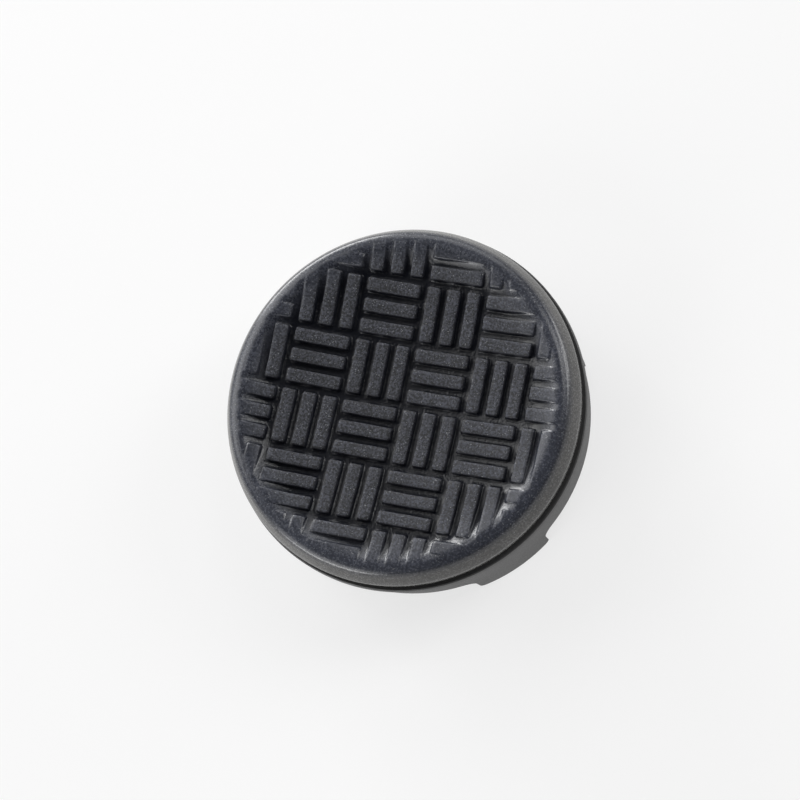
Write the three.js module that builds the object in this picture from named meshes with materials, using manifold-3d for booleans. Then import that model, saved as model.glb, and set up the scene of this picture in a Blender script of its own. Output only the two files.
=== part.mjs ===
// Thumb grip that clips over the head of a small control stick.
// A soft pad with a dished top in a basket-weave relief sits on a stiffer ring,
// whose four claws snap round the stick's head.
// Millimetres, +Z up. The origin is on the axis, at the tips of the claws, which it stands on.
// +X and +Y run along the two directions of the weave's bars.

import * as THREE from 'three';
import { mergeGeometries, mergeVertices } from 'three/addons/utils/BufferGeometryUtils.js';
import Module from 'manifold-3d';

const wasm = await Module();
wasm.setup();

// Socket for the stick's head
const STICK_HEAD_RADIUS = 9.2;
const STICK_HEAD_CLEARANCE = 0.15;
const SOCKET_DEPTH = 4.3;
const SOCKET_CORNER = 0.3;

// Clip ring round the socket
const SKIRT_WALL = 0.75;
const SKIRT_FLARE = 0.2;
const PLATE_THICKNESS = 0.9;
const RING_EDGE = 0.12;

// Shallow cup on top of the ring, with a flange round it
const CUP_DEPTH = 0.25;
const CUP_WALL = 0.72;
const FLANGE_REACH = 0.22;
const FLANGE_HEIGHT = 0.45;
const FLANGE_EDGE = 0.06;

// Claws below the skirt, with a lip that catches under the stick's head
const CLAW_COUNT = 4;
const CLAW_WIDTH = 4.85;
const CLAW_DROP = 2.05;
const CLAW_FILLET = 0.8;
const CLAW_TIP_ROUND = 0.35;
const CLAW_TAPER = 0.1;
const LIP_REACH = 0.4;
const LIP_HEIGHT = 0.5;
const LIP_LAND = 0.2;
const LIP_SLOPE = 0.4;

// Clearances of the pad's plug in the cup, and of the open seam above the cup's rim
const PLUG_CLEARANCE = 0.3;
const SEAM_GAP = 0.3;

// Pad with a plug below, an upright foot, a leaning flank, a rolled rim and a dished top
const PAD_INSET = 0.15;
const FOOT_TUCK = 0.04;
const FOOT_HEIGHT = 0.6;
const PAD_HEIGHT = 2.3;
const FLANK_LEAN = 0.25;
const ROLL_WIDTH = 0.34;
const ROLL_HEIGHT = 0.55;
const DISH_SAG = 1.21;

// Basket-weave relief
const WEAVE_PITCH = 3.58;
const BARS_PER_CELL = 3;
const BAR_WIDTH = 0.68;
const BAR_END_GAP = 0.5;
const BAR_CHAMFER = 0.09;
const BAR_SINK = 0.05;
const BAR_ROOT = 0.15;
const GROOVE_DEPTH = 0.4;
const WEAVE_MARGIN = 0.31;
const GROOVE_FADE = 0.4;

// Fineness of the round surfaces
const ROUND_SEGMENTS = 64;
const ARC_SEGMENTS = 4;

// Sizes worked out from those above
const socketRadius = STICK_HEAD_RADIUS + STICK_HEAD_CLEARANCE;
const skirtRadius = socketRadius + SKIRT_WALL;
const ringRadius = skirtRadius + SKIRT_FLARE;
const clawFootRadius = skirtRadius - CLAW_TAPER;
const lipRadius = socketRadius - LIP_REACH;
const plateTop = SOCKET_DEPTH + PLATE_THICKNESS;
const rimHeight = plateTop + CUP_DEPTH;
const flangeRadius = ringRadius + FLANGE_REACH;
const flangeFoot = rimHeight - FLANGE_HEIGHT;
const cupRadius = flangeRadius - CUP_WALL;
const plugRadius = cupRadius - PLUG_CLEARANCE;
const overhangHeight = rimHeight + SEAM_GAP;
const padRadius = flangeRadius - PAD_INSET;
const crestRadius = padRadius - FLANK_LEAN - ROLL_WIDTH;
const crestHeight = plateTop + PAD_HEIGHT;
const dishCentre = crestHeight - DISH_SAG;
const weaveRadius = crestRadius - WEAVE_MARGIN;

// Height of the smooth dish, which the tops of the bars follow
function dishHeight(radius) {
  return dishCentre + DISH_SAG * (radius / crestRadius) ** 2;
}

// Height of the grooves' floor, which comes up to the smooth dish at the edge of the weave
function floorHeight(radius) {
  const inward = THREE.MathUtils.clamp((weaveRadius - radius) / GROOVE_FADE, 0, 1);
  return dishHeight(radius) - GROOVE_DEPTH * inward;
}

// A closed mesh, with its shared vertices merged, as a solid that can be joined and cut
function solidOf(geometry) {
  const bare = geometry.index ? geometry.toNonIndexed() : geometry.clone();
  bare.deleteAttribute('normal');
  bare.deleteAttribute('uv');
  const merged = mergeVertices(bare, 1e-5);
  const corners = [];
  for (let i = 0; i < merged.index.count; i += 3) {
    const triangle = [merged.index.getX(i), merged.index.getX(i + 1), merged.index.getX(i + 2)];
    if (new Set(triangle).size === 3) {
      corners.push(...triangle);
    }
  }
  const vertProperties = new Float32Array(merged.attributes.position.array);
  const triVerts = new Uint32Array(corners);
  return new wasm.Manifold(new wasm.Mesh({ numProp: 3, vertProperties, triVerts }));
}

// A finished solid as a mesh geometry
function geometryOf(solid) {
  const mesh = solid.getMesh();
  const geometry = new THREE.BufferGeometry();
  geometry.setAttribute('position', new THREE.BufferAttribute(mesh.vertProperties, 3));
  geometry.setIndex(new THREE.BufferAttribute(mesh.triVerts, 1));
  geometry.computeVertexNormals();
  return geometry;
}

// A profile of [radius, height] points turned round the Z axis
function turned(profile) {
  const points = profile.map(([radius, height]) => new THREE.Vector2(radius, height));
  return new THREE.LatheGeometry(points, ROUND_SEGMENTS).rotateX(Math.PI / 2);
}

// Points on a quarter of an ellipse, from its outer end up to its top, without the first
function quarterArc(centreRadius, centreHeight, width, rise) {
  const points = [];
  for (let i = 1; i <= ARC_SEGMENTS; i += 1) {
    const angle = (Math.PI / 2) * (i / ARC_SEGMENTS);
    points.push([centreRadius + width * Math.cos(angle), centreHeight + rise * Math.sin(angle)]);
  }
  return points;
}

// Clip ring: cup, flange, skirt and, at first, one unbroken claw all round
function ringBlank() {
  return solidOf(turned([
    [0, SOCKET_DEPTH],
    [socketRadius - SOCKET_CORNER, SOCKET_DEPTH],
    [socketRadius, SOCKET_DEPTH - SOCKET_CORNER],
    [socketRadius, LIP_HEIGHT + LIP_LAND + LIP_SLOPE],
    [lipRadius, LIP_HEIGHT + LIP_LAND],
    [lipRadius, LIP_HEIGHT],
    [socketRadius, 0],
    [clawFootRadius - RING_EDGE, 0],
    [clawFootRadius, RING_EDGE],
    [skirtRadius, CLAW_DROP],
    [ringRadius, flangeFoot - FLANGE_REACH],
    [flangeRadius, flangeFoot],
    [flangeRadius, rimHeight - FLANGE_EDGE],
    [flangeRadius - FLANGE_EDGE, rimHeight],
    [cupRadius, rimHeight],
    [cupRadius, plateTop],
    [0, plateTop],
  ]));
}

// Outline of the window between two claws, laid flat: across is along the skirt, up is Z
function windowOutline(halfWidth) {
  const below = -CLAW_DROP;
  const outline = new THREE.Shape();
  outline.moveTo(-halfWidth - CLAW_TIP_ROUND, below);
  outline.lineTo(halfWidth + CLAW_TIP_ROUND, below);
  outline.lineTo(halfWidth + CLAW_TIP_ROUND, 0);
  outline.absarc(halfWidth + CLAW_TIP_ROUND, CLAW_TIP_ROUND, CLAW_TIP_ROUND, -Math.PI / 2, -Math.PI, true);
  outline.absarc(halfWidth - CLAW_FILLET, CLAW_DROP - CLAW_FILLET, CLAW_FILLET, 0, Math.PI / 2, false);
  const flatHalf = halfWidth - CLAW_FILLET;
  const steps = 2 * ARC_SEGMENTS;
  for (let i = 1; i < steps; i += 1) {
    outline.lineTo(flatHalf - (2 * flatHalf * i) / steps, CLAW_DROP);
  }
  outline.absarc(-flatHalf, CLAW_DROP - CLAW_FILLET, CLAW_FILLET, Math.PI / 2, Math.PI, false);
  outline.absarc(-halfWidth - CLAW_TIP_ROUND, CLAW_TIP_ROUND, CLAW_TIP_ROUND, 0, -Math.PI / 2, true);
  return outline;
}

// A slab pushed through the skirt between two claws, bent round the axis
function windowCutter(middleAngle) {
  const gapAngle = (2 * Math.PI) / CLAW_COUNT - CLAW_WIDTH / skirtRadius;
  const outline = windowOutline((gapAngle / 2) * skirtRadius);
  const innerRadius = lipRadius / 2;
  const depth = 2 * ringRadius - innerRadius;
  const slab = new THREE.ExtrudeGeometry(outline, { depth, bevelEnabled: false, curveSegments: ARC_SEGMENTS });
  const places = slab.attributes.position;
  for (let i = 0; i < places.count; i += 1) {
    const angle = middleAngle + places.getX(i) / skirtRadius;
    const radius = innerRadius + places.getZ(i);
    places.setXYZ(i, radius * Math.cos(angle), radius * Math.sin(angle), places.getY(i));
  }
  return solidOf(slab);
}

// Clip ring cut into claws, with one claw on each diagonal of the weave
function clipRing() {
  let ring = ringBlank();
  for (let i = 0; i < CLAW_COUNT; i += 1) {
    ring = ring.subtract(windowCutter((2 * Math.PI * i) / CLAW_COUNT));
  }
  return geometryOf(ring);
}

// Pad without its bars: plug, side, rolled crest and the floor of the weave
function padBlank() {
  const floorSteps = 4;
  const fadeStart = weaveRadius - GROOVE_FADE;
  const flankTop = crestHeight - ROLL_HEIGHT;
  const floor = [];
  for (let i = 0; i <= floorSteps; i += 1) {
    const radius = fadeStart * (1 - i / floorSteps);
    floor.push([radius, floorHeight(radius)]);
  }
  return solidOf(turned([
    [0, plateTop],
    [plugRadius, plateTop],
    [plugRadius, overhangHeight],
    [padRadius - FOOT_TUCK, overhangHeight],
    [padRadius, overhangHeight + FOOT_HEIGHT],
    [crestRadius + ROLL_WIDTH, flankTop],
    ...quarterArc(crestRadius, flankTop, ROLL_WIDTH, ROLL_HEIGHT),
    [weaveRadius, dishHeight(weaveRadius)],
    ...floor,
  ]));
}

// One bar of the weave, with chamfered edges, draped over the dish
function weaveBar(middleX, middleY, alongX) {
  const length = WEAVE_PITCH - BAR_END_GAP;
  const halfX = (alongX ? length : BAR_WIDTH) / 2 - BAR_CHAMFER;
  const halfY = (alongX ? BAR_WIDTH : length) / 2 - BAR_CHAMFER;
  const plan = new THREE.Shape();
  plan.moveTo(-halfX, -halfY);
  plan.lineTo(halfX, -halfY);
  plan.lineTo(halfX, halfY);
  plan.lineTo(-halfX, halfY);
  const bar = new THREE.ExtrudeGeometry(plan, {
    depth: GROOVE_DEPTH + BAR_ROOT - 2 * BAR_CHAMFER,
    bevelSize: BAR_CHAMFER,
    bevelThickness: BAR_CHAMFER,
    bevelSegments: 1,
  });
  bar.translate(middleX, middleY, BAR_CHAMFER - GROOVE_DEPTH - BAR_ROOT - BAR_SINK);
  const places = bar.attributes.position;
  for (let i = 0; i < places.count; i += 1) {
    const radius = Math.hypot(places.getX(i), places.getY(i));
    places.setZ(i, places.getZ(i) + dishHeight(radius));
  }
  return bar;
}

// Every bar that reaches into the weave's circle, cut off at the ring round it
function weaveBars() {
  const cellsAcross = Math.ceil(weaveRadius / WEAVE_PITCH);
  const barSpacing = WEAVE_PITCH / BARS_PER_CELL;
  const bars = [];
  for (let column = -cellsAcross; column < cellsAcross; column += 1) {
    for (let row = -cellsAcross; row < cellsAcross; row += 1) {
      const alongX = (column + row) % 2 === 0;
      for (let i = 0; i < BARS_PER_CELL; i += 1) {
        const across = (i + 0.5) * barSpacing;
        const x = column * WEAVE_PITCH + (alongX ? WEAVE_PITCH / 2 : across);
        const y = row * WEAVE_PITCH + (alongX ? across : WEAVE_PITCH / 2);
        bars.push(weaveBar(x, y, alongX));
      }
    }
  }
  const inside = turned([
    [0, plateTop],
    [weaveRadius, plateTop],
    [weaveRadius, crestHeight],
    [0, crestHeight],
  ]);
  return solidOf(mergeGeometries(bars)).intersect(solidOf(inside));
}

// Pad with its weave
function thumbPad() {
  return geometryOf(padBlank().add(weaveBars()));
}

// The two pieces, each with its own material
const softRubber = new THREE.MeshStandardMaterial({ color: 0x3d3e45, roughness: 0.7, metalness: 0 });
const hardPlastic = new THREE.MeshStandardMaterial({ color: 0x48484a, roughness: 0.5, metalness: 0 });

const pad = new THREE.Mesh(thumbPad(), softRubber);
pad.name = 'thumb_pad';

const ring = new THREE.Mesh(clipRing(), hardPlastic);
ring.name = 'clip_base';

const grip = new THREE.Group();
grip.add(pad, ring);

export default grip;
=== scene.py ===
import math

import bmesh
import bpy
import numpy as np
from mathutils import Matrix, Vector, noise
from mathutils.geometry import delaunay_2d_cdt


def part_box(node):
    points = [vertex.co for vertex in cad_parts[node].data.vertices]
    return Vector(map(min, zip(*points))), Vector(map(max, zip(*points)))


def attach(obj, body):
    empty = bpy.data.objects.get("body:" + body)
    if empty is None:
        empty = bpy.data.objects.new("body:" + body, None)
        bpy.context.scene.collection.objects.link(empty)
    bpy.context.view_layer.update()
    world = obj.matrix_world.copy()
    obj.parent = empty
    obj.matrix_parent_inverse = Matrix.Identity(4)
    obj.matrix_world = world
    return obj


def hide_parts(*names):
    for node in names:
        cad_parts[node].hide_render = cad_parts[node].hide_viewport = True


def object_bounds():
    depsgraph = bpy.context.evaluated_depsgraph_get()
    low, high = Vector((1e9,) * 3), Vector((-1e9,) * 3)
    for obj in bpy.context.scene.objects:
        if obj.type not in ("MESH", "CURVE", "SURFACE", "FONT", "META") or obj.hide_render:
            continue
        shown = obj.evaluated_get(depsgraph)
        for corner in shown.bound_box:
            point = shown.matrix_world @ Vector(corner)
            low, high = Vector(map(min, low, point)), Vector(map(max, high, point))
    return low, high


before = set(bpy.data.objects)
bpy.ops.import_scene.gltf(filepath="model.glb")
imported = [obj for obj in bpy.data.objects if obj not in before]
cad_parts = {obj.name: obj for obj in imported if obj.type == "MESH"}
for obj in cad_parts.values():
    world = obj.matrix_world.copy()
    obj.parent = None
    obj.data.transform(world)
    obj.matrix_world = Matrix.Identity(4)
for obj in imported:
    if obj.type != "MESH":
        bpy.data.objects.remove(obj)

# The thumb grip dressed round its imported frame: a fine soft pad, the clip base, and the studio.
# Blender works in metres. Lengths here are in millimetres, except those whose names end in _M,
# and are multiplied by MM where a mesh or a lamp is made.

MM = 0.001

cad_low, cad_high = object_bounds()
pad_low, pad_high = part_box("thumb_pad")
_, base_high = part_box("clip_base")

# Sizes taken from the frame
PAD_RADIUS = pad_high.x / MM
PAD_UNDERSIDE = pad_low.z / MM
CREST_HEIGHT = pad_high.z / MM
FLANGE_RADIUS = base_high.x / MM
RIM_HEIGHT = base_high.z / MM

# Pad: plug, upright foot, leaning flank, rolled rim and dish
PLUG_RADIUS = 9.5
PLUG_ROUND = 0.03
SEAM_GAP = 0.3
FOOT_TUCK = 0.04
FOOT_HEIGHT = 0.6
FOOT_ROUND = 0.04
FLANK_LEAN = 0.25
FLANK_BULGE = 0.015
ROLL_WIDTH = 0.34
ROLL_HEIGHT = 0.55
DISH_SAG = 1.15
ROLL_START = PAD_RADIUS - FLANK_LEAN - ROLL_WIDTH
DISH_END = ROLL_START - 0.78
CREST_RADIUS = ROLL_START - 0.48
END_SLOPE = 2 * DISH_SAG * DISH_END / ROLL_START**2
CREST_RISE = END_SLOPE * (CREST_RADIUS - DISH_END) / 2
DISH_CENTRE = CREST_HEIGHT - CREST_RISE - DISH_SAG * (DISH_END / ROLL_START) ** 2
OUTER_SLOPE = 0.45
OUTER_FALL = OUTER_SLOPE * (ROLL_START - CREST_RADIUS) / 2

# Weave: square cells of parallel bars, turned a quarter from one cell to the next
WEAVE_PITCH = 3.58
BARS_PER_CELL = 3
BAR_SPACING = WEAVE_PITCH / BARS_PER_CELL
BAR_WIDTH = 0.68
BAR_LENGTH = WEAVE_PITCH - BAR_SPACING + BAR_WIDTH
BAR_CORNER = 0.06
BAR_WOBBLE = 0.014
WOBBLE_LENGTH = 0.9
GROOVE_DEPTH = 0.4
WEAVE_RADIUS = ROLL_START - 0.25
RIM_START = 7.3
GROOVE_END = 1.8

# Section of a bar's edge: distance outwards from it, and the share of the groove's depth there
EDGE_SECTION = [
    (-0.02, 0.0),
    (0.01, 0.05),
    (0.035, 0.36),
    (0.058, 0.82),
    (0.088, 0.95),
    (0.125, 1.0),
]

# Meshing of the pad
GRID_RADIUS = 8.9
GRID_STEP = 0.2
BAND_INNER = 8.96
BAND_OUTER = 9.6
BAND_STEP = 0.055
FINE_PER_RIM = 4
RIM_SEGMENTS = 288
ARC_STEPS = 10
FOOT_STEPS = 5
TRIANGLES_INSIDE = 1
SEAM_TOLERANCE = 1e-7
MERGE_DISTANCE = 0.002

# Clip base
SOCKET_DEPTH = 4.3
SOCKET_RADIUS = 9.35
SOCKET_CORNER = 0.3
CUP_WALL = 0.72
FLANGE_REACH = 0.22
FLANGE_HEIGHT = 0.45
FLANGE_EDGE = 0.06
SKIRT_FLARE = 0.2
CLAW_COUNT = 4
CLAW_WIDTH = 4.85
CLAW_DROP = 2.05
CLAW_FILLET = 0.8
CLAW_TIP_ROUND = 0.35
CLAW_TAPER = 0.1
LIP_REACH = 0.4
LIP_HEIGHT = 0.5
LIP_LAND = 0.2
LIP_SLOPE = 0.4
EDGE_ROUND = 0.09
EDGE_SEGMENTS = 3
EDGE_ANGLE = 35

# Meshing of the base: places round a claw, and heights that keep its tall faces short
FLAT_STEPS = 6
TIP_STEPS = 7
FILLET_STEPS = 8
FILLET_START = 0.25
SIDE_STEP = 0.02
SPAN_STEPS = 14
SOCKET_HEIGHTS = [3.0, 2.1]
SKIRT_HEIGHTS = [0, 0.7, 1.4, CLAW_DROP, 2.5, 3.3, 4.1]

# Camera, fitted to the photograph's 800 by 800 frame
FRAME_PIXELS = 800
PAD_CENTRE_PIXEL = (401.0, 404.8)
AIM_HEIGHT = 6.36
CAMERA_BACK = Vector((0.2882, -0.1701, 0.9424))
CAMERA_UP = Vector((-0.1605, 0.9616, 0.2226))
CAMERA_DISTANCE = 165.6
CAMERA_LENS = 131.3
SENSOR_WIDTH = 36.0
CLIP_START_SHARE = 0.1
CLIP_END_M = 10

# Light. Each softbox: name, azimuth from +X, elevation, width and height in millimetres, watts
WORLD_STRENGTH = 0.03
SOFTBOX_DISTANCE = 420
SOFTBOXES = [
    ("high_left_softbox", 158, 52, 200, 150, 0.2),
    ("high_right_softbox", 58, 56, 120, 120, 0.2),
    ("left_softbox", 168, 33, 330, 170, 0.6),
    ("front_left_softbox", 236, 32, 260, 170, 0.5),
    ("back_softbox", 102, 32, 260, 170, 0.33),
    ("right_softbox", 38, 34, 150, 150, 0.5),
    ("low_right_softbox", 45, 11, 190, 150, 0.5),
    ("low_left_softbox", 240, 8, 280, 90, 0.8),
    ("low_back_softbox", 137, 11, 260, 150, 1.6),
]

# Floor and the low wall round it
FLOOR_RADIUS_M = 1.0
WALL_HEIGHT_M = 0.27
WALL_SEGMENTS = 128
FLOOR_GAP = 0.02
FLOOR_ROUGHNESS = 0.8
FLOOR_SPECULAR = 0.1
BACKDROP_SHARE = 0.7

# Colours
TOP_DARK = (0.005, 0.0055, 0.008)
TOP_LIGHT = (0.051, 0.054, 0.069)
RIM_DARK = (0.029, 0.0315, 0.041)
RIM_LIGHT = (0.052, 0.056, 0.071)
# The pad's side is a lighter grey than its top: partly its own duller finish, partly painted sheen
# of grazing reflections.
SIDE_DARK_WITH_SHEEN = (0.044, 0.043, 0.0415)
SIDE_LIGHT_WITH_SHEEN = (0.086, 0.084, 0.081)
# Near black in the grooves: partly the rubber's darker colour there, partly painted shade that is
# deepest on the groove floors.
GROOVE_DARK_AND_PAINTED_SHADE = (0.002, 0.003, 0.0075)
DUST_COLOUR = (0.16, 0.165, 0.175)
PLASTIC_DARK = (0.020, 0.020, 0.0205)
PLASTIC_LIGHT = (0.034, 0.034, 0.034)
FLOOR_DARK = (0.792, 0.792, 0.792)
FLOOR_LIGHT = (0.80, 0.80, 0.80)
WHITE = (1, 1, 1, 1)

# Noises of the materials: size of the grains in millimetres, and detail
SPECKLE_NOISE = (0.12, 1.0)
DUST_NOISE = (0.075, 0.0)
RUBBER_CLOUD = (2.4, 3.0)
PLASTIC_NOISE = (0.09, 3.0)
PLASTIC_CLOUD = (3.0, 2.0)
FLOOR_CLOUD = (60, 2.0)

# Ranges of noise that the materials use, and what they give
CLOUD_RANGE = (0.3, 0.7)
SPECKLE_RANGE = (0.4, 0.66)
DUST_RANGE = (0.72, 0.8)
RUBBER_TONES = (0.82, 1.1)
BAR_ROUGHNESS = (0.66, 0.8)
RIM_ROUGHNESS = (0.22, 0.28)
GROOVE_ROUGHNESS = (0.3, 0.15)
PLASTIC_ROUGHNESS = (0.42, 0.55)
RIM_WEAR = 0.75

# Bump: distance in millimetres, and strength
RUBBER_BUMP = (0.045, 0.5)
PLASTIC_BUMP = (0.02, 0.35)
MIDDLE_GREY = 0.5

# Places of a Mix node's two values and of its result, by kind
MIX_SOCKETS = {"FLOAT": (2, 3, 0), "RGBA": (6, 7, 2)}


def smoothstep(share):
    share = np.clip(share, 0, 1)
    return share * share * (3 - 2 * share)


def dish_height(radius):
    """Height of the smooth top: a dish, then a low crest that falls a little outwards."""
    dish = DISH_CENTRE + DISH_SAG * (radius / ROLL_START) ** 2
    before = np.clip((CREST_RADIUS - radius) / (CREST_RADIUS - DISH_END), 0, 1)
    after = np.clip((radius - CREST_RADIUS) / (ROLL_START - CREST_RADIUS), 0, 1)
    crest = CREST_HEIGHT - CREST_RISE * before**2 - OUTER_FALL * after**2
    return np.where(radius < DISH_END, dish, crest)


def edge_distance(x, y):
    """Distance from each point to the nearest bar's outline, below zero inside a bar."""
    nearest = np.full(x.shape, np.inf)
    column = np.floor(x / WEAVE_PITCH)
    row = np.floor(y / WEAVE_PITCH)
    for step_x in (-1, 0, 1):
        for step_y in (-1, 0, 1):
            cell_x = column + step_x
            cell_y = row + step_y
            along_x = (cell_x + cell_y) % 2 == 0
            from_x = x - (cell_x + 0.5) * WEAVE_PITCH
            from_y = y - (cell_y + 0.5) * WEAVE_PITCH
            along = np.where(along_x, from_x, from_y)
            across = np.where(along_x, from_y, from_x)
            for bar in range(BARS_PER_CELL):
                offset = (bar - (BARS_PER_CELL - 1) / 2) * BAR_SPACING
                reach = np.abs(along) - (BAR_LENGTH / 2 - BAR_CORNER)
                side = np.abs(across - offset) - (BAR_WIDTH / 2 - BAR_CORNER)
                outside = np.hypot(np.maximum(reach, 0), np.maximum(side, 0))
                inside = np.minimum(np.maximum(reach, side), 0)
                nearest = np.minimum(nearest, outside + inside - BAR_CORNER)
    return nearest


def groove_share(x, y):
    """Share of the groove's depth at each point, from 0 on a bar or the rim to 1 on its floor."""
    wobble = [noise.noise(Vector((px, py, 0)) / WOBBLE_LENGTH) for px, py in zip(x, y)]
    distance = edge_distance(x, y) + BAR_WOBBLE * np.array(wobble)
    knots, shares = zip(*EDGE_SECTION)
    section = np.interp(distance, knots, shares)
    return section * smoothstep((WEAVE_RADIUS - np.hypot(x, y)) / GROOVE_END)


class Shell:
    """Vertices, faces and each vertex's shares of groove, rim and side, for one mesh."""

    def __init__(self):
        self.points = []
        self.faces = []
        self.groove = []
        self.rim = []
        self.side = []

    def add(self, points, groove=0.0, rim=1.0, side=0.0):
        first = len(self.points)
        self.points.extend(tuple(p) for p in points)
        for values, added in ((self.groove, groove), (self.rim, rim), (self.side, side)):
            values.extend(np.broadcast_to(added, len(points)))
        return first

    def add_top(self, x, y):
        """Points of the pad's top, with the weave's relief."""
        share = groove_share(x, y)
        radius = np.hypot(x, y)
        z = dish_height(radius) - GROOVE_DEPTH * share
        rim = smoothstep((radius - RIM_START) / (WEAVE_RADIUS - RIM_START))
        return self.add(np.stack([x, y, z], 1), groove=share, rim=rim)

    def mesh(self, name):
        data = bpy.data.meshes.new(name)
        data.from_pydata([Vector(p) * MM for p in self.points], [], self.faces)
        for label, values in (("groove", self.groove), ("rim", self.rim), ("side", self.side)):
            attribute = data.attributes.new(label, "FLOAT", "POINT")
            attribute.data.foreach_set("value", np.array(values, dtype=np.float32))
        data.validate()
        data.shade_smooth()
        return data


def grid_lines():
    """Places of the grid's lines, close together across the edges of the bars."""
    cells = math.ceil(GRID_RADIUS / WEAVE_PITCH)
    lines = set()
    for cell in range(-cells, cells):
        for bar in range(BARS_PER_CELL):
            middle = cell * WEAVE_PITCH + (bar + 0.5) * BAR_SPACING
            for knot, _ in EDGE_SECTION:
                lines.add(round(middle - BAR_WIDTH / 2 - knot, 6))
                lines.add(round(middle + BAR_WIDTH / 2 + knot, 6))
    lines = sorted(v for v in lines if abs(v) < GRID_RADIUS)
    filled = []
    for low, high in zip(lines, lines[1:]):
        parts = math.ceil((high - low) / GRID_STEP)
        filled += [low + (high - low) * part / parts for part in range(parts)]
    return np.array(filled + [lines[-1]])


def ring_quads(first_a, first_b, count):
    """Quads between two rings, each of so many points, given by their first points."""
    return [
        (first_a + i, first_a + (i + 1) % count, first_b + (i + 1) % count, first_b + i)
        for i in range(count)
    ]


def circle(count):
    turn = np.arange(count) * (2 * math.pi / count)
    return np.cos(turn), np.sin(turn)


def add_grid(shell):
    """The middle of the weave on straight lines. Returns its filled cells, lines and edge."""
    lines = grid_lines()
    x, y = np.meshgrid(lines, lines, indexing="ij")
    kept = np.hypot(x, y) < GRID_RADIUS
    cells = kept[:-1, :-1] & kept[1:, :-1] & kept[1:, 1:] & kept[:-1, 1:]
    used = np.zeros_like(kept)
    for shift_x, shift_y in ((0, 0), (1, 0), (1, 1), (0, 1)):
        used[shift_x : shift_x + cells.shape[0], shift_y : shift_y + cells.shape[1]] |= cells
    first = shell.add_top(x[used], y[used])
    index = np.full(x.shape, -1)
    index[used] = first + np.arange(used.sum())
    sides = {}
    for i, j in zip(*np.nonzero(cells)):
        corners = (index[i, j], index[i + 1, j], index[i + 1, j + 1], index[i, j + 1])
        face = [int(v) for v in corners]
        shell.faces.append(tuple(face))
        for a, b in zip(face, face[1:] + face[:1]):
            sides[a, b] = True
    edge = [pair for pair in sides if (pair[1], pair[0]) not in sides]
    return cells, lines, edge


def add_band(shell, cells, lines, edge):
    """The edge of the weave on circles, and the seam of triangles between it and the grid."""
    count = RIM_SEGMENTS * FINE_PER_RIM
    across, up = circle(count)
    steps = round((BAND_OUTER - BAND_INNER) / BAND_STEP)
    rings = []
    for radius in np.linspace(BAND_INNER, BAND_OUTER, steps + 1):
        rings.append(shell.add_top(radius * across, radius * up))
    for inner, outer in zip(rings, rings[1:]):
        shell.faces.extend(ring_quads(inner, outer, count))
    ids = sorted({v for pair in edge for v in pair}) + list(range(rings[0], rings[0] + count))
    place = {v: i for i, v in enumerate(ids)}
    flat = [Vector(shell.points[v][:2]) for v in ids]
    borders = [(place[a], place[b]) for a, b in edge]
    borders += [(place[rings[0] + i], place[rings[0] + (i + 1) % count]) for i in range(count)]
    points, _, triangles, origin, _, _ = delaunay_2d_cdt(
        flat, borders, [], TRIANGLES_INSIDE, SEAM_TOLERANCE
    )
    for triangle in triangles:
        middle = sum((points[v] for v in triangle), Vector((0, 0))) / 3
        i = np.searchsorted(lines, middle.x) - 1
        j = np.searchsorted(lines, middle.y) - 1
        inside = 0 <= i < cells.shape[0] and 0 <= j < cells.shape[1] and cells[i, j]
        if not inside:
            shell.faces.append(tuple(ids[origin[v][0]] for v in triangle))
    return rings[-1]


def roll_profile(flank_top, flank_slope):
    """The roll from the flank's top to the crest's edge, as (radius, height) without its first."""
    low = Vector((ROLL_START + ROLL_WIDTH, flank_top))
    high = Vector((ROLL_START, float(dish_height(ROLL_START))))
    drop = high.y - low.y
    reach = (drop - OUTER_SLOPE * ROLL_WIDTH) / (1 - OUTER_SLOPE * flank_slope)
    corner = Vector((low.x - flank_slope * reach, low.y + reach))
    points = []
    for i in range(1, ARC_STEPS + 1):
        share = i / ARC_STEPS
        point = low * (1 - share) ** 2 + corner * (2 * share * (1 - share)) + high * share**2
        points.append((point.x, point.y))
    return points


def rim_profile():
    """The pad's section from its underside to the band, as (radius, height, share of side)."""
    overhang = RIM_HEIGHT + SEAM_GAP
    foot = PAD_RADIUS - FOOT_TUCK
    bend = overhang + FOOT_HEIGHT
    flank_top = CREST_HEIGHT - ROLL_HEIGHT
    profile = [
        (PLUG_RADIUS - PLUG_ROUND, PAD_UNDERSIDE, 1),
        (PLUG_RADIUS, PAD_UNDERSIDE + PLUG_ROUND, 1),
        (PLUG_RADIUS, overhang - PLUG_ROUND, 1),
        (PLUG_RADIUS + PLUG_ROUND, overhang, 1),
        (foot - FOOT_ROUND, overhang, 1),
        (foot, overhang + FOOT_ROUND, 1),
    ]
    for i in range(1, FOOT_STEPS):
        share = i / FOOT_STEPS
        height = overhang + FOOT_ROUND + (bend - overhang - 2 * FOOT_ROUND) * share
        profile.append((foot + FOOT_TUCK * share, height, 1))
    profile.append((PAD_RADIUS, bend - FOOT_ROUND, 1))
    for i in range(1, ARC_STEPS):
        share = i / ARC_STEPS
        radius = PAD_RADIUS - FLANK_LEAN * share + FLANK_BULGE * math.sin(math.pi * share)
        profile.append((radius, bend + (flank_top - bend) * share, 1))
    profile.append((ROLL_START + ROLL_WIDTH, flank_top, 1))
    roll = roll_profile(flank_top, FLANK_LEAN / (flank_top - bend))
    for i, (radius, height) in enumerate(roll, 1):
        profile.append((radius, height, 1 - i / len(roll)))
    inner = (ROLL_START + BAND_OUTER) / 2
    profile.append((inner, float(dish_height(inner)), 0))
    return profile


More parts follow.
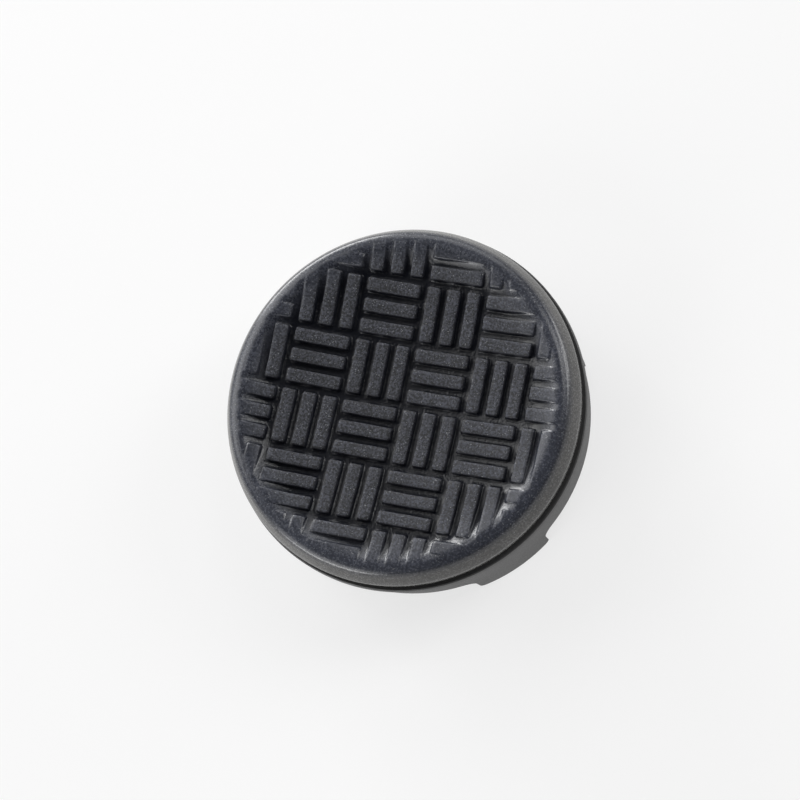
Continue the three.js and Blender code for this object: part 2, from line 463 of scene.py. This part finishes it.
def add_rim(shell, band_edge):
    """The side, rim and underside as rings, joined to the band's finer outer ring."""
    across, up = circle(RIM_SEGMENTS)
    rings = []
    for radius, height, side in rim_profile():
        ring = np.stack([radius * across, radius * up, np.full(RIM_SEGMENTS, height)], 1)
        rings.append(shell.add(ring, side=side))
    for lower, upper in zip(rings, rings[1:]):
        shell.faces.extend(ring_quads(upper, lower, RIM_SEGMENTS))
    shell.faces.append(tuple(rings[0] + i for i in reversed(range(RIM_SEGMENTS))))
    fine = RIM_SEGMENTS * FINE_PER_RIM
    for i in range(RIM_SEGMENTS):
        a = rings[-1] + i
        b = rings[-1] + (i + 1) % RIM_SEGMENTS
        near = [band_edge + (i * FINE_PER_RIM + k) % fine for k in range(FINE_PER_RIM + 1)]
        half = FINE_PER_RIM // 2
        for k in range(FINE_PER_RIM):
            shell.faces.append((near[k], a if k < half else b, near[k + 1]))
        shell.faces.append((near[half], a, b))


def fix_normals(data):
    """Joins points that coincide, and turns every face outwards."""
    work = bmesh.new()
    work.from_mesh(data)
    bmesh.ops.remove_doubles(work, verts=work.verts, dist=MERGE_DISTANCE * MM)
    bmesh.ops.recalc_face_normals(work, faces=work.faces)
    work.to_mesh(data)
    work.free()


def make_pad():
    shell = Shell()
    cells, lines, edge = add_grid(shell)
    band_edge = add_band(shell, cells, lines, edge)
    add_rim(shell, band_edge)
    data = shell.mesh("thumb_pad_fine")
    fix_normals(data)
    pad = bpy.data.objects.new("thumb_pad_fine", data)
    bpy.context.scene.collection.objects.link(pad)
    return pad


def claw_bottom(turn):
    """Height of the base's lower edge, so many millimetres round the skirt from a claw's middle."""
    past = abs(turn) - CLAW_WIDTH / 2
    if past <= -CLAW_TIP_ROUND:
        return 0.0
    if past <= 0:
        square = CLAW_TIP_ROUND**2 - (past + CLAW_TIP_ROUND) ** 2
        return CLAW_TIP_ROUND - math.sqrt(max(square, 0))
    if past < CLAW_FILLET:
        return CLAW_DROP - CLAW_FILLET + math.sqrt(CLAW_FILLET**2 - (CLAW_FILLET - past) ** 2)
    return CLAW_DROP


def claw_turns(skirt_radius):
    """Places of the sections round the skirt, each with its distance from a claw's middle."""
    half = CLAW_WIDTH / 2
    quarter = math.pi / 2
    tip = [math.sin(a) for a in np.linspace(0, quarter, TIP_STEPS)]
    fillet = [1 - math.cos(a) for a in np.linspace(FILLET_START, quarter, FILLET_STEPS)]
    near = [half - CLAW_TIP_ROUND + CLAW_TIP_ROUND * share for share in tip]
    near += [half + SIDE_STEP]
    near += [half + CLAW_FILLET * share for share in fillet]
    period = 2 * math.pi * skirt_radius / CLAW_COUNT
    inner = list(np.linspace(0, near[0], FLAT_STEPS))[:-1]
    outer = list(np.linspace(near[-1], period / 2, SPAN_STEPS))[1:]
    half_turn = inner + near + outer
    turns = [-v for v in reversed(half_turn[1:-1])] + half_turn
    places = []
    for claw in range(CLAW_COUNT):
        for turn in turns:
            places.append(((claw + 0.5) * period + turn, turn))
    return sorted(places)


def base_section(bottom, skirt_radius, ring_radius):
    """The base's section as (radius, height), from the socket's ceiling down and up outside."""
    flange_foot = RIM_HEIGHT - FLANGE_HEIGHT
    skirt_top = flange_foot - FLANGE_REACH
    lip = SOCKET_RADIUS - LIP_REACH
    inner_heights = [0, LIP_HEIGHT, LIP_HEIGHT + LIP_LAND, LIP_HEIGHT + LIP_LAND + LIP_SLOPE]
    inner_radii = [SOCKET_RADIUS, lip, lip, SOCKET_RADIUS]
    outer_heights = [0, CLAW_DROP, skirt_top]
    outer_radii = [skirt_radius - CLAW_TAPER, skirt_radius, ring_radius]
    points = [
        (SOCKET_RADIUS - SOCKET_CORNER, SOCKET_DEPTH),
        (SOCKET_RADIUS, SOCKET_DEPTH - SOCKET_CORNER),
    ]
    for height in SOCKET_HEIGHTS + inner_heights[::-1]:
        height = max(height, bottom)
        points.append((float(np.interp(height, inner_heights, inner_radii)), height))
    for height in SKIRT_HEIGHTS + [skirt_top]:
        height = max(height, bottom)
        points.append((float(np.interp(height, outer_heights, outer_radii)), height))
    points.append((FLANGE_RADIUS - FLANGE_EDGE, flange_foot - FLANGE_EDGE))
    points.append((FLANGE_RADIUS, flange_foot))
    points.append((FLANGE_RADIUS, RIM_HEIGHT - FLANGE_EDGE))
    points.append((FLANGE_RADIUS - FLANGE_EDGE, RIM_HEIGHT))
    points.append((FLANGE_RADIUS - CUP_WALL, RIM_HEIGHT))
    points.append((FLANGE_RADIUS - CUP_WALL, PAD_UNDERSIDE))
    return points


def make_base():
    ring_radius = FLANGE_RADIUS - FLANGE_REACH
    skirt_radius = ring_radius - SKIRT_FLARE
    shell = Shell()
    strips = []
    for place, turn in claw_turns(skirt_radius):
        angle = place / skirt_radius
        section = base_section(claw_bottom(turn), skirt_radius, ring_radius)
        points = [(r * math.cos(angle), r * math.sin(angle), z) for r, z in section]
        strips.append((shell.add(points), len(points)))
    for (a, count), (b, _) in zip(strips, strips[1:] + strips[:1]):
        for k in range(count - 1):
            shell.faces.append((a + k, b + k, b + k + 1, a + k + 1))
    shell.faces.append(tuple(a for a, _ in strips))
    shell.faces.append(tuple(a + count - 1 for a, count in reversed(strips)))
    data = shell.mesh("clip_base_fine")
    fix_normals(data)
    base = bpy.data.objects.new("clip_base_fine", data)
    bpy.context.scene.collection.objects.link(base)
    bevel = base.modifiers.new("rounded_edges", "BEVEL")
    bevel.width = EDGE_ROUND * MM
    bevel.segments = EDGE_SEGMENTS
    bevel.limit_method = "ANGLE"
    bevel.angle_limit = math.radians(EDGE_ANGLE)
    bevel.use_clamp_overlap = True
    bevel.harden_normals = True
    return base


def new_material(name):
    material = bpy.data.materials.new(name)
    material.use_nodes = True
    nodes = material.node_tree.nodes
    nodes.clear()
    output = nodes.new("ShaderNodeOutputMaterial")
    shader = nodes.new("ShaderNodeBsdfPrincipled")
    material.node_tree.links.new(shader.outputs["BSDF"], output.inputs["Surface"])
    return material, shader


def fine_noise(tree, kind, coordinates):
    """The value of a noise, whose kind is the size of its grains and its detail."""
    grain_mm, detail = kind
    node = tree.nodes.new("ShaderNodeTexNoise")
    node.inputs["Scale"].default_value = 1 / (grain_mm * MM)
    node.inputs["Detail"].default_value = detail
    tree.links.new(coordinates.outputs["Object"], node.inputs["Vector"])
    return node.outputs["Fac"]


def ranged(tree, socket, given=(0, 1), wanted=(0, 1)):
    """Maps a value from one range to another."""
    node = tree.nodes.new("ShaderNodeMapRange")
    node.inputs["From Min"].default_value, node.inputs["From Max"].default_value = given
    node.inputs["To Min"].default_value, node.inputs["To Max"].default_value = wanted
    tree.links.new(socket, node.inputs["Value"])
    return node.outputs["Result"]


def attribute_value(tree, name):
    node = tree.nodes.new("ShaderNodeAttribute")
    node.attribute_name = name
    return node.outputs["Fac"]


def fill(tree, socket, value):
    """Gives a socket a link, a colour or a number."""
    if isinstance(value, bpy.types.NodeSocket):
        tree.links.new(value, socket)
    elif isinstance(value, tuple):
        socket.default_value = (*value, 1)
    else:
        socket.default_value = value


def mixed(tree, factor, value_a, value_b, kind="RGBA"):
    """Mixes two colours, or two numbers where the kind is FLOAT."""
    node = tree.nodes.new("ShaderNodeMix")
    node.data_type = kind
    place_a, place_b, place_out = MIX_SOCKETS[kind]
    fill(tree, node.inputs[0], factor)
    fill(tree, node.inputs[place_a], value_a)
    fill(tree, node.inputs[place_b], value_b)
    return node.outputs[place_out]


def scaled_colour(tree, colour, factor):
    node = tree.nodes.new("ShaderNodeVectorMath")
    node.operation = "SCALE"
    tree.links.new(colour, node.inputs[0])
    tree.links.new(factor, node.inputs["Scale"])
    return node.outputs["Vector"]


def bumped(tree, height, bump):
    distance_mm, strength = bump
    node = tree.nodes.new("ShaderNodeBump")
    node.inputs["Distance"].default_value = distance_mm * MM
    node.inputs["Strength"].default_value = strength
    tree.links.new(height, node.inputs["Height"])
    return node.outputs["Normal"]


def soft_rubber():
    """Bluish dark rubber: dry and speckled on the bars; glossier in the grooves, where the colour
    is painted near black as shade; greyer below, partly painted sheen.
    """
    material, shader = new_material("soft_rubber")
    tree = material.node_tree
    coordinates = tree.nodes.new("ShaderNodeTexCoord")
    groove = attribute_value(tree, "groove")
    rim = attribute_value(tree, "rim")
    side = attribute_value(tree, "side")
    grain = fine_noise(tree, SPECKLE_NOISE, coordinates)
    cloud = fine_noise(tree, RUBBER_CLOUD, coordinates)
    speckle = ranged(tree, grain, SPECKLE_RANGE)
    top = mixed(tree, speckle, TOP_DARK, TOP_LIGHT)
    # The side's lighter grey is partly painted sheen.
    flank = mixed(tree, speckle, SIDE_DARK_WITH_SHEEN, SIDE_LIGHT_WITH_SHEEN)
    ring = mixed(tree, speckle, RIM_DARK, RIM_LIGHT)
    colour = mixed(tree, side, mixed(tree, rim, top, ring), flank)
    dots = ranged(tree, fine_noise(tree, DUST_NOISE, coordinates), DUST_RANGE)
    colour = mixed(tree, dots, colour, DUST_COLOUR)
    # Painted shade: the colour darkens to near black with the groove's depth, most on the groove
    # floors.
    colour = mixed(tree, groove, colour, GROOVE_DARK_AND_PAINTED_SHADE)
    tone = ranged(tree, cloud, CLOUD_RANGE, RUBBER_TONES)
    tree.links.new(scaled_colour(tree, colour, tone), shader.inputs["Base Color"])
    dry = ranged(tree, speckle, wanted=BAR_ROUGHNESS)
    worn = ranged(tree, speckle, wanted=RIM_ROUGHNESS)
    glossy = ranged(tree, rim, wanted=GROOVE_ROUGHNESS)
    raised = mixed(tree, rim, dry, worn, "FLOAT")
    tree.links.new(mixed(tree, groove, raised, glossy, "FLOAT"), shader.inputs["Roughness"])
    wear = ranged(tree, rim, wanted=(0, RIM_WEAR))
    height = mixed(tree, wear, grain, MIDDLE_GREY, "FLOAT")
    tree.links.new(bumped(tree, height, RUBBER_BUMP), shader.inputs["Normal"])
    return material


def hard_plastic():
    """Neutral dark plastic with a fine moulded texture."""
    material, shader = new_material("hard_plastic")
    tree = material.node_tree
    coordinates = tree.nodes.new("ShaderNodeTexCoord")
    grain = fine_noise(tree, PLASTIC_NOISE, coordinates)
    cloud = fine_noise(tree, PLASTIC_CLOUD, coordinates)
    colour = mixed(tree, ranged(tree, cloud, CLOUD_RANGE), PLASTIC_DARK, PLASTIC_LIGHT)
    roughness = ranged(tree, grain, CLOUD_RANGE, PLASTIC_ROUGHNESS)
    tree.links.new(colour, shader.inputs["Base Color"])
    tree.links.new(roughness, shader.inputs["Roughness"])
    tree.links.new(bumped(tree, grain, PLASTIC_BUMP), shader.inputs["Normal"])
    return material


def seen_directly(tree):
    """One for what is seen, straight, mirrored or through glass, and zero for light on surfaces."""
    path = tree.nodes.new("ShaderNodeLightPath")
    total = path.outputs["Is Camera Ray"]
    for name in ("Is Glossy Ray", "Is Transmission Ray"):
        node = tree.nodes.new("ShaderNodeMath")
        node.operation = "MAXIMUM"
        tree.links.new(total, node.inputs[0])
        tree.links.new(path.outputs[name], node.inputs[1])
        total = node.outputs["Value"]
    return total


def add_floor():
    """A wide pale floor with a low wall round it, which is the background of a low view."""
    data = bpy.data.meshes.new("studio_floor")
    across, up = circle(WALL_SEGMENTS)
    ring = [(float(x) * FLOOR_RADIUS_M, float(y) * FLOOR_RADIUS_M) for x, y in zip(across, up)]
    height = cad_low.z - FLOOR_GAP * MM
    points = [(x, y, height) for x, y in ring + ring]
    points += [(x, y, height + WALL_HEIGHT_M) for x, y in ring]
    wall = ring_quads(2 * WALL_SEGMENTS, WALL_SEGMENTS, WALL_SEGMENTS)
    data.from_pydata(points, [], [tuple(range(WALL_SEGMENTS))] + wall)
    data.shade_smooth()
    floor = bpy.data.objects.new("studio_floor", data)
    bpy.context.scene.collection.objects.link(floor)
    material, shader = new_material("pale_floor")
    tree = material.node_tree
    coordinates = tree.nodes.new("ShaderNodeTexCoord")
    cloud = fine_noise(tree, FLOOR_CLOUD, coordinates)
    colour = mixed(tree, ranged(tree, cloud, CLOUD_RANGE), FLOOR_DARK, FLOOR_LIGHT)
    tree.links.new(colour, shader.inputs["Base Color"])
    shader.inputs["Roughness"].default_value = FLOOR_ROUGHNESS
    shader.inputs["Specular IOR Level"].default_value = FLOOR_SPECULAR
    glow = tree.nodes.new("ShaderNodeEmission")
    glow.inputs["Color"].default_value = WHITE
    share = ranged(tree, seen_directly(tree), wanted=(0, BACKDROP_SHARE))
    mix = tree.nodes.new("ShaderNodeMixShader")
    tree.links.new(share, mix.inputs["Fac"])
    tree.links.new(shader.outputs["BSDF"], mix.inputs[1])
    tree.links.new(glow.outputs["Emission"], mix.inputs[2])
    output = next(node for node in tree.nodes if node.type == "OUTPUT_MATERIAL")
    tree.links.new(mix.outputs["Shader"], output.inputs["Surface"])
    floor.data.materials.append(material)


def add_softbox(name, azimuth, elevation, width_mm, height_mm, power):
    """An area lamp aimed at the grip. Azimuth is counted in degrees from +X towards +Y."""
    turn = math.radians(azimuth)
    rise = math.radians(elevation)
    level = math.cos(rise)
    out = Vector((math.cos(turn) * level, math.sin(turn) * level, math.sin(rise)))
    data = bpy.data.lights.new(name, "AREA")
    data.shape = "RECTANGLE"
    data.size = width_mm * MM
    data.size_y = height_mm * MM
    data.energy = power
    lamp = bpy.data.objects.new(name, data)
    lamp.location = Vector((0, 0, DISH_CENTRE * MM)) + out * SOFTBOX_DISTANCE * MM
    lamp.rotation_mode = "QUATERNION"
    lamp.rotation_quaternion = out.to_track_quat("Z", "Y")
    bpy.context.scene.collection.objects.link(lamp)


def add_light():
    world = bpy.data.worlds.new("studio")
    world.use_nodes = True
    tree = world.node_tree
    tree.nodes.clear()
    output = tree.nodes.new("ShaderNodeOutputWorld")
    ambient = tree.nodes.new("ShaderNodeBackground")
    ambient.inputs["Color"].default_value = WHITE
    ambient.inputs["Strength"].default_value = WORLD_STRENGTH
    tree.links.new(ambient.outputs["Background"], output.inputs["Surface"])
    bpy.context.scene.world = world
    for softbox in SOFTBOXES:
        add_softbox(*softbox)


def add_camera():
    back = CAMERA_BACK.normalized()
    right = CAMERA_UP.cross(back).normalized()
    up = back.cross(right)
    pixels_per_focal = CAMERA_LENS / SENSOR_WIDTH * FRAME_PIXELS
    step = CAMERA_DISTANCE * MM / pixels_per_focal
    middle = (FRAME_PIXELS - 1) / 2
    aim = Vector((0, 0, AIM_HEIGHT * MM))
    aim -= right * (PAD_CENTRE_PIXEL[0] - middle) * step
    aim += up * (PAD_CENTRE_PIXEL[1] - middle) * step
    data = bpy.data.cameras.new("camera")
    data.sensor_width = SENSOR_WIDTH
    data.lens = CAMERA_LENS
    data.clip_start = CAMERA_DISTANCE * MM * CLIP_START_SHARE
    data.clip_end = CLIP_END_M
    camera = bpy.data.objects.new("camera", data)
    turned = Matrix((right, up, back)).transposed().to_4x4()
    camera.matrix_world = Matrix.Translation(aim + back * CAMERA_DISTANCE * MM) @ turned
    bpy.context.scene.collection.objects.link(camera)
    bpy.context.scene.camera = camera


add_camera()
add_floor()
add_light()

pad = make_pad()
pad.data.materials.append(soft_rubber())
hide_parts("thumb_pad")
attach(pad, "root")

base = make_base()
base.data.materials.append(hard_plastic())
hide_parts("clip_base")
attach(base, "root")

bpy.context.scene.view_settings.view_transform = "Standard"
